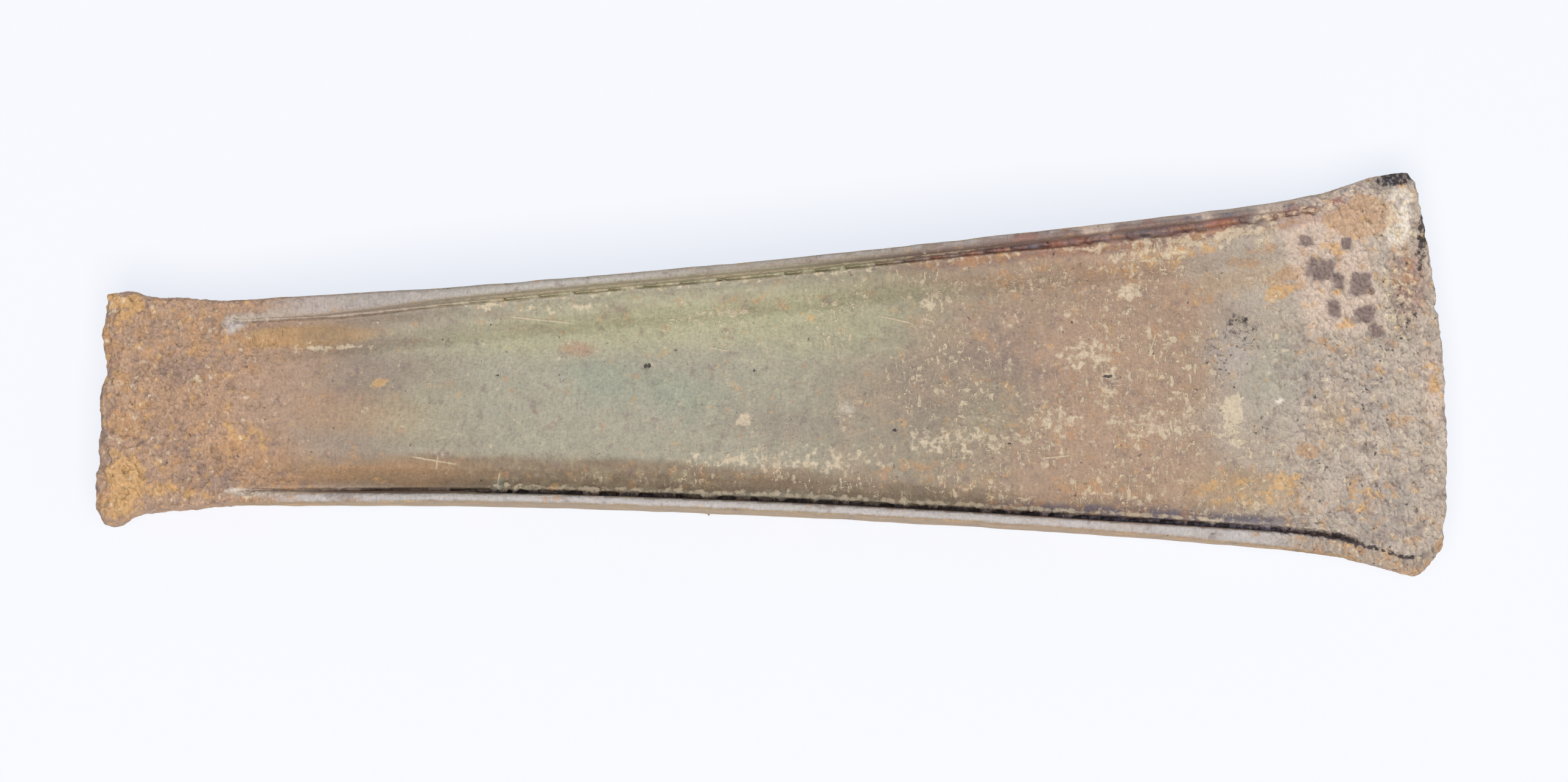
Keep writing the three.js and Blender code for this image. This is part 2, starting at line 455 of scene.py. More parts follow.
def relief(at, settings):
    """How far each vertex moves along its normal, in millimetres."""
    s, y = at.along, at.across
    broad = waves(at.place, 7.0, 1)
    middling = waves(at.place, 2.6, 2)
    small = waves(at.place, 1.15, 3)
    fine = waves(at.place, 0.6, 4)

    rough_butt = 1 - smooth(s + 3 * middling, 13, 25)
    butt = rough_butt * (0.35 * middling + 0.45 * small + 0.3 * fine) * settings.butt_relief / MM

    granular = smooth(s + 2.5 * broad - 0.12 * y, *BLADE)
    edge = granular * (0.5 * small + 0.75 * fine) * settings.edge_relief / MM

    on_face = smooth(at.inset, at.foot, at.foot + 0.8)
    plate = on_face * (1 - rough_butt) * (0.6 * broad + 0.2 * middling + 0.12 * small)
    plate *= settings.plate_relief / MM

    moved = butt + edge + plate

    pocks = 1 - smooth(spots(at.place, 2.1, 5), 0.05, 0.16)
    moved -= pocks * on_face * between(s, 30, 158, 6) * np.clip(broad + 0.5, 0, 1) * POCK
    bitten = 1 - smooth(spots(at.place, 1.0, 6), 0.08, 0.3)
    moved -= bitten * at.upper * between(s, 143, 158, 3) * between(y, -3, 9, 2.5) * BITE
    for along, across, radius, depth in PITS:
        gap = np.hypot((s - along) / 1.35, y - across) / radius
        moved -= at.upper * depth * (1 - smooth(gap + 0.25 * fine, 0.25, 1.1))

    return moved + FLAKE * flakes(at) - WINDOW * windows(at)


def flakes(at):
    """Where the crust still lies near the left end of the edge: 1 on it, 0 beside it."""
    torn = 0.9 * waves(at.place, 2.6, 2) + 0.5 * waves(at.place, 1.15, 3)
    patch = between(at.along + torn + 0.25 * (at.across - 13), 155.5, 166, 0.6)
    return at.upper * patch * between(at.across + torn, 5.5, 21.5, 0.6)


def windows(at):
    """The gaps in that crust, nearly square."""
    bare = np.zeros(len(at.along))
    torn = 0.3 * waves(at.place, 1.3, 14) + 0.3 * waves(at.place, 0.8, 15)
    for along, across, long, wide in WINDOWS:
        reach = (np.abs((at.along - along) / long) ** 4 + np.abs((at.across - across) / wide) ** 4) ** 0.25
        bare = np.maximum(bare, 1 - smooth(reach + torn, 0.65, 1.25))
    return at.upper * bare


def hammer_sides(at, settings):
    """How far each vertex moves inwards across, in millimetres."""
    flat = at.place * (1, 0.05, 0.12)
    facets = waves(flat, 5.5, 8) * 0.6 + waves(flat, 2.2, 9) * 0.4
    near = 1 - smooth(at.inset, 0.5, 2.0)
    return near * (0.55 + 0.75 * facets) * 0.5 * settings.side_relief / MM


def fill_grooves(at):
    """How far each vertex of a flange's inner wall moves inwards, where soil fills the groove."""
    full = at.upper * at.by_side(between(at.along, 17, 118, 10), between(at.along, 17, 50, 4))
    low = 1 - smooth(at.height - at.plate, 0.0, 3.0)
    return full * low * between(at.inset, at.crest - 0.5, at.crest + 0.4, 0.3) * SOIL


def gnaw_ends(at):
    """How far each vertex moves along the axe, in millimetres."""
    moved = np.zeros(len(at.along))
    line = at.place * (0.35, 1, 0.5)
    near_butt = 1 - smooth(at.along, 1.5, 5)
    for across, half, reach in BUTT_NOTCHES:
        moved += near_butt * reach * np.exp(-(((at.across - across) / half) ** 2))
    moved += near_butt * (NOTCH[0] * waves(line, 1.6, 10) + NOTCH[1] * waves(line, 0.8, 11) + WORN_BUTT)
    near_edge = smooth(at.along, 170.5, 173.5)
    moved -= near_edge * np.clip(waves(line, 2.4, 12) - 0.25, 0, 1) * CHIP
    moved -= near_edge * (0.5 + waves(line, 0.8, 13)) * EDGE_GRAIN
    return moved


def stand(mesh, tree):
    """The nearest place on the cast surface and how far each vertex stands above it, in millimetres."""
    places, gaps = [], []
    for vertex in mesh.vertices:
        place, normal, _, gap = tree.find_nearest(vertex.co)
        places.append(place)
        gaps.append(math.copysign(gap, (vertex.co - place).dot(normal)))
    return np.array(places), np.array(gaps) / MM


def sharpen(mesh, tree):
    """Lays the rebuilt mesh back onto the cast surface, except where a crumb stands on it."""
    places, gaps = stand(mesh, tree)
    co = vectors(mesh.vertices, "co")
    hold = (1 - smooth(np.abs(gaps), *LOOSE))[:, None]
    mesh.vertices.foreach_set("co", (co + (places - co) * hold).ravel())
    mesh.update()


def keep_inside(mesh):
    """Holds every vertex within the cast solid's box."""
    low, high = (np.array(corner, np.float32) for corner in (cad_low, cad_high))
    mesh.vertices.foreach_set("co", np.clip(vectors(mesh.vertices, "co"), low, high).ravel())
    mesh.update()


def weather(mesh, settings):
    """Moves every vertex of the mesh as age, hammer and soil have."""
    at = Survey(mesh)
    co = at.co + at.normal * relief(at, settings)[:, None] * MM
    co[:, 1] -= at.side * (hammer_sides(at, settings) + fill_grooves(at)) * MM
    co[:, 0] += gnaw_ends(at) * MM
    for along, across, radius, on, out in GRABS:
        pull = np.exp(-((at.along - along) ** 2 + (at.across - across) ** 2) / radius**2)
        co[:, 0] += pull * on * MM
        co[:, 1] += pull * out * MM
    mesh.vertices.foreach_set("co", co.ravel())
    keep_inside(mesh)


# ---------------------------------------------------------------------------
# Shader maths
# ---------------------------------------------------------------------------


class Wire:
    """A socket of a material. Sums, differences and products of wires add Math nodes."""

    def __init__(self, finish, socket):
        self.finish = finish
        self.socket = socket

    def _math(self, operation, *values):
        return self.finish.node("ShaderNodeMath", {"operation": operation}, dict(enumerate(values)))

    def __add__(self, other):
        return self._math("ADD", self, other)

    __radd__ = __add__

    def __sub__(self, other):
        return self._math("SUBTRACT", self, other)

    def __rsub__(self, other):
        return self._math("SUBTRACT", other, self)

    def __mul__(self, other):
        return self._math("MULTIPLY", self, other)

    __rmul__ = __mul__

    def __lt__(self, other):
        return self._math("LESS_THAN", self, other)

    def high(self, other):
        """The greater of the two."""
        return self._math("MAXIMUM", self, other)

    def low(self, other):
        """The smaller of the two."""
        return self._math("MINIMUM", self, other)

    def size(self):
        """The value without its sign."""
        return self._math("ABSOLUTE", self)

    def step(self, low, high):
        """0 below low, 1 above high, and an S between."""
        return self.finish.node(
            "ShaderNodeMapRange",
            {"interpolation_type": "SMOOTHSTEP"},
            {"Value": self, "From Min": low, "From Max": high},
        )


class Finish:
    """A material and the one way that nodes are added to it."""

    def __init__(self, name):
        self.material = bpy.data.materials.new(name)
        self.material.use_nodes = True
        self.tree = self.material.node_tree
        self.tree.nodes.clear()

    def node(self, kind, settings=None, sockets=None, output=0):
        """Adds a node: its type, its settings, then the values or links of its sockets."""
        made = self.tree.nodes.new(kind)
        for name, value in (settings or {}).items():
            setattr(made, name, value)
        for name, value in (sockets or {}).items():
            self._plug(self._socket(made.inputs, name), value)
        return Wire(self, self._socket(made.outputs, output)) if made.outputs else None

    @staticmethod
    def _socket(sockets, name):
        if isinstance(name, int):
            return [s for s in sockets if s.enabled][name]
        return next(s for s in sockets if s.enabled and s.name == name)

    def _plug(self, socket, value):
        if isinstance(value, Wire):
            self.tree.links.new(value.socket, socket)
        elif socket.type == "RGBA":
            socket.default_value = (*value, 1)
        else:
            socket.default_value = value

    def attribute(self, name):
        """A number that each vertex of the mesh carries."""
        return self.node("ShaderNodeAttribute", {"attribute_name": name}, output="Fac")

    def noise(self, place, size, detail=2.0, rough=0.55):
        """Smooth noise, about 0.5 on average, whose lumps are size millimetres across."""
        return self.node(
            "ShaderNodeTexNoise",
            {},
            {"Vector": place, "Scale": 1 / size, "Detail": detail, "Roughness": rough},
            "Fac",
        )

    def stretch(self, place, by, turn=0.0, shift=(0, 0, 0)):
        """The place, turned by that many degrees and scaled."""
        return self.node(
            "ShaderNodeMapping",
            {"vector_type": "TEXTURE"},
            {"Vector": place, "Location": shift, "Rotation": (0, 0, math.radians(turn)), "Scale": by},
        )

    def paint(self, under, over, mask):
        """One colour over another where the mask is 1."""
        return self.node(
            "ShaderNodeMix",
            {"data_type": "RGBA", "blend_type": "MIX", "clamp_factor": True},
            {"Factor": mask, "A": under, "B": over},
        )

    def shade(self, under, factor):
        """A colour made darker or lighter by a factor."""
        grey = self.node("ShaderNodeCombineColor", {}, {"Red": factor, "Green": factor, "Blue": factor})
        return self.node(
            "ShaderNodeMix",
            {"data_type": "RGBA", "blend_type": "MULTIPLY"},
            {"Factor": 1.0, "A": under, "B": grey},
        )


# ---------------------------------------------------------------------------
# Patina
# ---------------------------------------------------------------------------

# The skin down the middle of the plate: how far from the butt each colour is pure
GROUND = [
    (21, "tan"),
    (37, "drab"),
    (52, "sage"),
    (84, "sage"),
    (108, "olive"),
    (126, "rose"),
    (140, "rose"),
    (149, "grey"),
    (160, "sand"),
]
# Stains of the upper face, and one painted highlight, in the order they lie: colour, along, across, half
# length, half width, strength, then the turn in degrees and the softness, where they aren't 0 and 0.5.
# Those of a crust's colour that are no softer than CRISP are crusts.
STAINS = [
    # The butt and what lies beside it
    ("rust", 4, -2.5, 3, 2, 0.7, 20),
    ("ochre", 4.3, -9.5, 2.4, 3.4, 1, 0, 0.3),
    ("ochre", 3.6, -13.2, 3, 1.5, 0.7),
    ("ochre", 4.8, 12.9, 2.4, 1.4, 0.8, 0, 0.4),
    ("rust", 1.9, 7.5, 1.2, 3.5, 0.7),
    ("ochre", 9.5, -11.2, 4, 0.9, 0.6, 8),
    ("rust", 14, -11.8, 7, 1.3, 0.5, 5, 0.6),
    ("rust", 20, -6.5, 7, 3.5, 0.4, 10, 0.9),
    ("ochre", 19.5, -4.5, 3.5, 2.4, 0.45, 10),
    ("tan", 22, 2, 8, 6, 0.5, 0, 0.8),
    ("cream", 13.5, 2.6, 1.3, 0.9, 0.6),
    ("rust", 11, 2, 7, 5.5, 0.2, 30, 0.9),
    ("plum", 13, 5, 4.5, 2.5, 0.55, -15, 0.9),
    ("plum", 16, -9.5, 6, 2.2, 0.45, 0, 0.9),
    ("plum", 11, -5, 2.5, 3.5, 0.35, 20, 0.9),
    ("plum", 22, 9, 4, 2, 0.35, 0, 0.9),
    ("steel", 18.5, 10, 2, 1.1, 0.8, -15),
    ("honey", 28, 8.2, 9.5, 1.5, 0.95, -1, 0.3),
    ("rust", 24, 7.9, 4.2, 1.1, 0.45, -3, 0.7),
    ("umber", 33, 8.6, 7.5, 1.2, 0.35, -3, 0.7),
    ("cream", 31, 6.7, 5, 0.3, 0.75, -1),
    # The plate
    ("plum", 38, 1.5, 6.5, 3.5, 0.25, 0, 0.9),
    ("olive", 33, 2.5, 3, 1.5, 0.4, 0, 0.9),
    ("straw", 42, -2, 7, 5, 0.35, 0, 0.9),
    ("plum", 33, 2, 2.6, 1.6, 0.45),
    ("ochre", 37.4, 1.9, 1, 0.6, 0.75),
    ("umber", 58, -10.4, 36, 2.4, 0.9, 3, 0.3),
    ("rust", 34, -9.4, 16, 1.9, 0.45, 2, 0.7),
    ("umber", 98, -13, 22, 1.7, 0.7, 6),
    ("verdigris", 66, 1.5, 5, 3.5, 0.5, 10, 0.9),
    ("verdigris", 76, -0.5, 6, 3.5, 0.45, 10, 0.9),
    ("plum", 88, -4.5, 8, 2.4, 0.35, 3, 0.8),
    ("plum", 107, -1, 5, 6, 0.3, 20, 0.9),
    ("umber", 101, 12.6, 17, 1.7, 0.4, -7, 0.6),
    ("ochre", 104, -4.9, 1.6, 1, 0.55, -30),
    ("chalk", 97.2, -3, 1, 0.6, 0.5),
    ("rust", 34, -2, 9, 3, 0.3, 5, 0.9),
    ("straw", 76, 9, 34, 3.6, 0.85, -3.5, 0.7),
    ("straw", 94, 6.5, 16, 3, 0.45, 0, 0.9),
    ("rose", 63, 5.7, 2.4, 1, 0.9, 5),
    ("ochre", 59.3, -12.1, 0.9, 0.6, 1, 0, 0.3),
    ("verdigris", 52.3, -11.6, 0.7, 1.2, 0.6, 15),
    ("cream", 51, 11.6, 2.2, 0.8, 0.55, -5),
    ("cream", 60, 10.9, 6, 0.7, 0.45, -4),
    ("cream", 82, 9.8, 5, 0.5, 0.45, -4),
    ("cream", 84, -9.2, 9, 1.1, 0.45, 4),
    ("cream", 84, -4, 1.3, 1, 0.5),
    ("cream", 96, -9.4, 8, 1.6, 0.42, 3),
    ("cream", 108.5, 10.6, 1.4, 2.2, 0.45),
    ("rust", 107, -11.5, 7, 1.9, 0.45, 5, 0.6),
    ("cream", 112, -7.5, 9, 2.2, 0.44, 2),
    ("plum", 118, 3, 7, 5, 0.35, 40, 1),
    ("plum", 117, 4, 5, 4, 0.42, 40),
    ("rust", 126, 13.6, 12, 1.7, 0.45, -9, 0.6),
    ("rust", 127, -13.5, 9, 1.5, 0.45, 7, 0.6),
    ("cream", 138.5, 16.6, 8.5, 1.3, 0.52, -12),
    ("ochre", 138.5, 15.6, 8.5, 1.4, 0.45, -12),
    ("cream", 134, 11.2, 1.7, 1.1, 0.75),
    ("cream", 128.5, 3.4, 5, 2, 0.5, -12),
    ("cream", 131, -1, 1.6, 4, 0.45, 15),
    ("cream", 137, -6, 6, 2.2, 0.47),
    ("cream", 124, -5, 4, 1.6, 0.44),
    ("plum", 133, -1, 3.5, 3, 0.42),
    # The blade and its corners
    ("honey", 148, -14.6, 9, 2.6, 0.55, 6, 0.8),
    ("ochre", 147, -15, 8, 2.2, 0.42, 6),
    ("honey", 148, 12.5, 7, 1.8, 0.45, -14, 0.8),
    ("verdigris", 152, 0.5, 5, 6, 0.3, 10, 0.9),
    ("cream", 147, -4.2, 1.5, 1.8, 0.95, 20, 0.45),
    ("cream", 147.5, -7.5, 2.8, 2.2, 0.45, 20),
    ("rust", 154.7, 12.2, 2.8, 1.8, 0.9, -15, 0.45),
    ("ochre", 153.4, 10.8, 2.4, 1.1, 0.7, -15, 0.4),
    ("rust", 150.5, 15.5, 5, 1.2, 0.6, -18),
    ("rust", 156.7, -9.8, 1.4, 1, 1, 0, 0.3),
    ("ochre", 153.5, -13.8, 2.8, 1.6, 0.6),
    ("cream", 154, 20, 6, 1.4, 0.6, -14),
    ("rust", 164.6, 20.4, 4.6, 2.8, 1, -10, 0.3),
    ("shell", 163.6, 20.2, 5.6, 3.6, 0.6, -10),
    ("ochre", 161.5, 16.4, 1.7, 1, 0.8, 0, 0.4),
    ("ochre", 162.3, 6.9, 1.3, 1, 0.7, 0, 0.4),
    ("chalk", 169.6, 20.4, 1.9, 4.2, 0.95, 8, 0.3),
    ("cream", 169.6, 20.4, 1.9, 4.2, 0.5, 8, 0.3),
    ("plum", 168.6, 9.5, 3.6, 7, 0.45, 5),
    ("brick", 170.6, 11.5, 2.2, 5, 0.6, 5, 0.8),
    ("rust", 169.6, 13, 2.2, 4, 0.5, 5),
    ("cream", 169, 10, 2.8, 6, 0.45, 5),
    ("soot", 168.6, 8.5, 4.2, 7.5, 0.22, 5),
    ("slate", 157, -1, 3, 6, 0.13, 10, 0.9),
    ("slate", 165, -3, 3, 7, 0.13, -10, 0.9),
    ("honey", 160, -5.5, 3, 3.5, 0.3, 10, 0.9),
    ("shell", 173.2, -1.8, 1.5, 5.5, 0.8, -3),
    ("ochre", 173.4, -0.5, 0.9, 2.6, 0.6, -3, 0.4),
    ("rust", 168, -6.5, 2.6, 1.8, 0.35, 0, 0.6),
    ("ochre", 163, -16.5, 4.5, 2, 0.5),
    ("grey", 147.5, 4, 4.5, 6, 0.6, 10, 0.8),
    ("steel", 146.5, 3, 3, 3.5, 0.35, 10, 0.8),
    ("soot", 148.2, 5.6, 2.6, 2.4, 0.3, 30),
    ("soot", 145.2, 2.2, 1.6, 3.4, 0.27, -15),
    ("soot", 149.5, -6.5, 2, 1.6, 0.2),
    ("slate", 169.2, 25.4, 2.8, 1.3, 0.6, -12),
    ("soot", 169.2, 25.4, 2.7, 1.1, 0.68, -12, 0.4),
    ("soot", 172.4, 17.2, 0.6, 4.8, 0.62, 5),
    ("slate", 165, -17.5, 7, 6, 0.2, 0, 0.9),
    ("plum", 167, -16, 5, 6, 0.42),
    ("chalk", 153.2, -3.2, 0.6, 0.35, 0.95, -20, 0.4),
    # A painted highlight: a pale line where the right flange starts
    ("chalk", 18.4, -11.4, 1.4, 0.4, 0.8),
]
# Scratches through the skin: along and across of the middle, half length, half thickness, turn in degrees
SCRATCHES = [
    (44.0, -8.2, 3.3, 0.16, -11),
    (44.4, -8.5, 0.9, 0.16, 82),
    (52.3, -10.8, 0.9, 0.14, 80),
    (58.0, 9.6, 4.6, 0.14, -7),
    (81.0, 5.2, 1.4, 0.12, -12),
    (104.0, 8.4, 2.2, 0.14, -14),
    (108.6, 10.4, 1.1, 0.2, 84),
    (109.9, 9.9, 0.8, 0.16, 86),
    (137.0, 4.6, 1.6, 0.14, 70),
    (124.2, -9.8, 2.0, 0.14, 4),
]
# Stains of the lower face, which lay in the ground and is duller
STAINS_BELOW = [
    ("rust", 5, 4, 5, 7, 0.6, 0, 0.6),
    ("ochre", 3, 10, 2.5, 3, 0.7),
    ("umber", 60, 9.5, 36, 2.4, 0.7, -3, 0.6),
    ("straw", 80, -6, 30, 4, 0.6, 3, 0.9),
    ("rust", 120, 6, 14, 5, 0.4, 10, 0.6),
    ("cream", 150, -8, 7, 4, 0.5, 15, 0.6),
    ("plum", 163, 6, 6, 7, 0.5, 0, 0.6),
    ("ochre", 168, -14, 3.5, 6, 0.6),
]
# The crusts, whose rims the finer grain tears: seed of the grain, its size in millimetres
# The black crust also carries the right groove's painted shadow.
CRUSTS = {"plum": (0, 1.7), "rust": (1, 2.0), "ochre": (2, 1.5), "cream": (3, 1.0), "soot": (4, 0.75)}
CRISP = 0.6
TEAR = 2.2  # how strongly the grain tears a crust's rim
CRUST_RIM = (0.33, 0.7)
# How dark the painted shadow in the right groove is, along the axe
RIGHT_GROOVE_SHADOW = (
    (18, 0.0), (29, 0.1), (32, 0.32), (50, 0.4), (53, 1.0),
    (65, 1.0), (67, 0.5), (71, 0.95), (76, 0.6), (86, 0.6),
    (90, 1.0), (118, 0.9), (126, 0.55), (150, 0.6), (165, 0.8),
)


class Skin:
    """The colours of the vertices, laid over one another, and what the finer grain needs to know."""

    def __init__(self, at, proud, settings):
        self.at = at
        self.proud = proud
        self.settings = settings
        self.ragged = waves(at.place, 2.4, 41)
        self.grit = waves(at.place, 0.9, 42)
        self.cloud = waves(at.place, 9.0, 43)
        self.streaks = waves(at.place * (0.2, 1.2, 1), 1.6, 46)
        self.butt = 1 - smooth(at.along + 2 * self.cloud, 15, 33)
        self.edge = smooth(at.along - 0.1 * at.across, *BLADE)
        self.flanged = between(at.along, *GROOVES, 1.5)
        self.fields = {"rough": np.clip(self.butt + self.edge, 0, 1), "lime": self.lime_density()}
        self.colour = self.ground()
        self.cover()
        self.stains()
        self.mottle()
        self.raised()
        self.grooves()
        self.walls()
        self.crests_and_sides()

    def shade(self, name):
        """A colour of the settings."""
        return np.array(getattr(self.settings, name))

    def lay(self, name, mask):
        """One colour over what is there, where the mask is 1."""
        self.colour += (self.shade(name) - self.colour) * np.clip(mask, 0, 1)[:, None]

    def spread(self, name, mask):
        """Makes a crust at least as thick as the mask."""
        self.fields[name] = np.maximum(self.fields[name], np.clip(mask, 0, 1))

    def clear(self, mask, *names):
        """Takes crusts away where the mask is 1."""
        for name in names:
            self.fields[name] *= 1 - np.clip(mask, 0, 1)

    def ground(self):
        """The skin along the plate, before any stain."""
        place = self.at.along + 5 * self.cloud + 1.5 * self.ragged
        stops = [stop for stop, _ in GROUND]
        shades = np.array([self.shade(name) for _, name in GROUND])
        return np.stack([np.interp(place, stops, channel) for channel in shades.T], -1)

    def cover(self):
        """How much of each crust there is everywhere, before any stain."""
        at = self.at
        rosy = between(at.along + 4 * self.cloud, 112, 146, 8)
        gutter = between(at.inset, at.foot + 0.2, at.foot + 4.5, 0.8)
        self.fields["plum"] = 0.2 + 0.12 * self.butt + 0.14 * self.edge + 0.06 * rosy
        self.fields["rust"] = 0.1 + 0.22 * self.butt + 0.1 * self.edge + 0.12 * rosy + 0.08 * gutter
        self.fields["ochre"] = 0.05 + 0.17 * self.butt + 0.13 * self.edge + 0.06 * rosy
        self.fields["cream"] = 0.06 + 0.12 * self.butt + 0.14 * self.edge + 0.1 * rosy
        self.fields["soot"] = 0.02 + 0.05 * self.butt + 0.1 * self.edge + 0.02 * rosy

    def stains(self):
        """Every stain of both faces."""
        for name, *row in STAINS:
            self.stain(self.at.upper, name, *row)
        for name, *row in STAINS_BELOW:
            self.stain(1 - self.at.upper, name, *row)

    def stain(self, here, name, along, across, long, wide, strength, turn=0, soft=0.5):
        """One ragged oval: a crisp one of a crust's colour as a crust, any other straight on the skin."""
        angle = math.radians(turn)
        x, y = self.at.along - along, self.at.across - across
        u = x * math.cos(angle) - y * math.sin(angle)
        v = x * math.sin(angle) + y * math.cos(angle)
        wander = self.streaks if long > 4 * wide else self.ragged
        torn = np.hypot(u / long, v / wide) + 0.2 * wander * min(1, wide / 1.5)
        if name in CRUSTS and soft <= CRISP:
            self.spread(name, here * strength * (1 - smooth(torn, 1 - soft, 1 + soft)))
        else:
            self.lay(name, here * strength * (1 - smooth(torn, 1 - soft, 1 + 0.6 * soft)))

    def mottle(self):
        """Patches of a few millimetres, and streaks along the hollows."""
        at = self.at
        gutter = between(at.inset, at.foot + 0.4, at.foot + 4.5, 0.8)
        self.lay("umber", 0.35 * gutter * smooth(self.streaks, 0, 0.7) * between(at.along, 24, 150, 8))
        self.lay("rose", 0.3 * between(at.along, 84, 120, 8) * smooth(self.ragged + self.cloud, 0.2, 0.9))
        self.lay("straw", 0.25 * between(at.along, 44, 118, 8) * smooth(self.grit - self.cloud, 0.2, 0.9))
        self.colour *= (1 + 0.08 * self.ragged + 0.08 * self.grit + 0.04 * self.cloud)[:, None]

    def raised(self):
        """What stands proud of the cast surface, and what lies below it."""
        at = self.at
        raised = smooth(self.proud, 0.05, 0.18)
        sunken = smooth(-self.proud, 0.06, 0.2)
        limed = between(at.along, 46, 154, 5)
        self.spread("cream", 0.85 * raised * limed)
        self.spread("ochre", 0.6 * raised * (1 - smooth(at.along, 8, 26)))
        clean = between(at.along, 28, 154, 4) * (1 - 0.5 * smooth(self.fields["soot"], 0.1, 0.25))
        self.spread("soot", 1.1 * sunken * clean)
        self.spread("plum", 0.6 * sunken * (1 - limed))
        bare = windows(at)
        crust = flakes(at) * (1 - bare)
        self.lay("shell", 0.85 * crust)
        self.clear(0.8 * crust, "plum", "soot", "cream")
        self.clear(0.8 * bare, "cream", "rust", "ochre")
        self.spread("plum", 0.9 * bare)
        self.lay("plum", 0.9 * bare)

    def grooves(self):
        """The lips beside the grooves, the grooves and what fills them; the black, dark red-brown and
        blue-grey in and beside the right groove are painted shadow, and the paler colours in the grooves'
        shaded stretches are painted light.
        """
        at = self.at
        lip = between(at.inset, at.foot - 0.1, at.foot + 0.6, 0.2) * between(at.along, 50, 150, 8)
        self.spread("cream", at.by_side(0.36, 0.56) * lip)

        groove = between(at.inset, at.crest - 0.1, at.foot - 0.15, 0.2)
        groove *= (1 - smooth(at.height, at.plate + 0.2, at.plate + 2.0)) * self.flanged
        filled = smooth(self.proud, 0.2, 0.5)
        left_dark = between(at.along, 98, 155, 8) * smooth(self.streaks + 0.6, 0, 0.8)
        # The right groove's darkness is painted shadow under its crest, on the side away from the key light.
        right_shadow = curve(at.along, RIGHT_GROOVE_SHADOW) + 0.25 * self.ragged
        # From here on, the blue-grey in and beside the right groove is painted shadow too.
        slate = smooth(at.along, 112, 124) * (1 - smooth(at.along, 150, 158))
        reddish = smooth(at.along, 98, 112)
        self.clear(groove, *CRUSTS)
        for name, left, right in (
            # painted light: sand lightens the grooves where their geometry shades them; straw is partly the
            # plate's own colour, partly painted light
            ("sand", 1 - smooth(at.along, 80, 100), 1 - smooth(at.along, 24, 34)),
            ("straw", 0.7 * between(at.along, 48, 104, 12), 0),
            # painted shadow: dark red-brown in the right groove
            ("groove_shade", 0, smooth(at.along, 24, 34)),
            ("plum", 0.7 * reddish, 0),
            ("brick", (0.4 + 0.7 * self.ragged) * reddish, 0),
            ("slate", (0.3 - 0.7 * self.ragged) * left_dark, 0.8 * slate),
        ):
            self.lay(name, groove * at.by_side(left, right))
        # on the right this black is painted shadow; on the left it is dirt
        self.spread("soot", groove * (1 - filled) * at.by_side(0.22 * left_dark, right_shadow))
        self.spread("rust", 0.75 * groove * filled)
        self.spread("cream", 0.5 * groove * at.by_side(smooth(at.along, 146, 152), 0.2))
        seam = between(at.inset, at.crest - 0.25, at.crest + 0.25, 0.2) * between(at.along, 160, 171, 2)
        self.spread("soot", at.by_side(0.0, 0.75) * seam)
        beside = between(at.inset + 0.3 * self.ragged, at.foot, at.foot + 1.2, 0.4)
        beside *= between(at.along, 106, 158, 8)
        for name, left, right in (
            ("brick", 0.5 + 0.5 * self.ragged, 0),
            ("plum", 0.3 - 0.6 * self.ragged, 0),
            # painted shadow: blue-grey beside the right groove
            ("slate", 0, 0.75 * slate),
        ):
            self.lay(name, beside * at.by_side(left, right))
        self.spread("rust", at.by_side(0.5, 0.3) * beside)

    def walls(self):
        """The flanges' inner walls: painted shade on the right wall, which faces away from the key light,
        and painted light where the left wall lies in shade.
        """
        at = self.at
        wall = smooth(at.height, at.plate + 0.5, at.plate + 1.6)
        wall *= (at.inset > 0.3) * (at.inset < at.crest + 0.6)
        facing_in = smooth(np.clip(-at.normal[:, 1] * at.side, 0, 1), 0.3, 0.8)
        for name, left, right in (
            # painted light: sand lightens the left wall where it lies in shade; straw is partly the plate's
            # own colour, partly painted light
            ("sand", 1 - smooth(at.along, 80, 105), 0),
            ("straw", 0.35 * between(at.along, 48, 104, 12), 0),
            ("plum", 0.9 * smooth(at.along, 85, 110), 0),
            # painted shade on the right wall, which faces away from the key light
            ("groove_shade", 0, 0.6),
        ):
            self.lay(name, wall * facing_in * at.by_side(left, right))

    def crests_and_sides(self):
        """The flanges' crests, the sides, the butt's end and the right bevel of the blade; the crests' pale
        strip is rubbed metal with a painted highlight, stronger on the right crest, which faces the key
        light.
        """
        at = self.at
        standing = smooth(at.along, 20, 30) * (1 - smooth(at.along, 148, 162))
        top = smooth(at.normal[:, 2] * np.sign(at.level), 0.6, 0.85)
        top *= 1 - smooth(at.inset, at.crest, at.crest + 0.3)
        side = smooth(at.normal[:, 1] * at.side, 0.7, 0.9) * (1 - smooth(at.inset, 0.8, 1.6))
        outer = 1 - smooth(at.inset + 0.25 * self.ragged, 0.35 * at.crest, 0.75 * at.crest)
        fading = smooth(at.along, 60, 90)
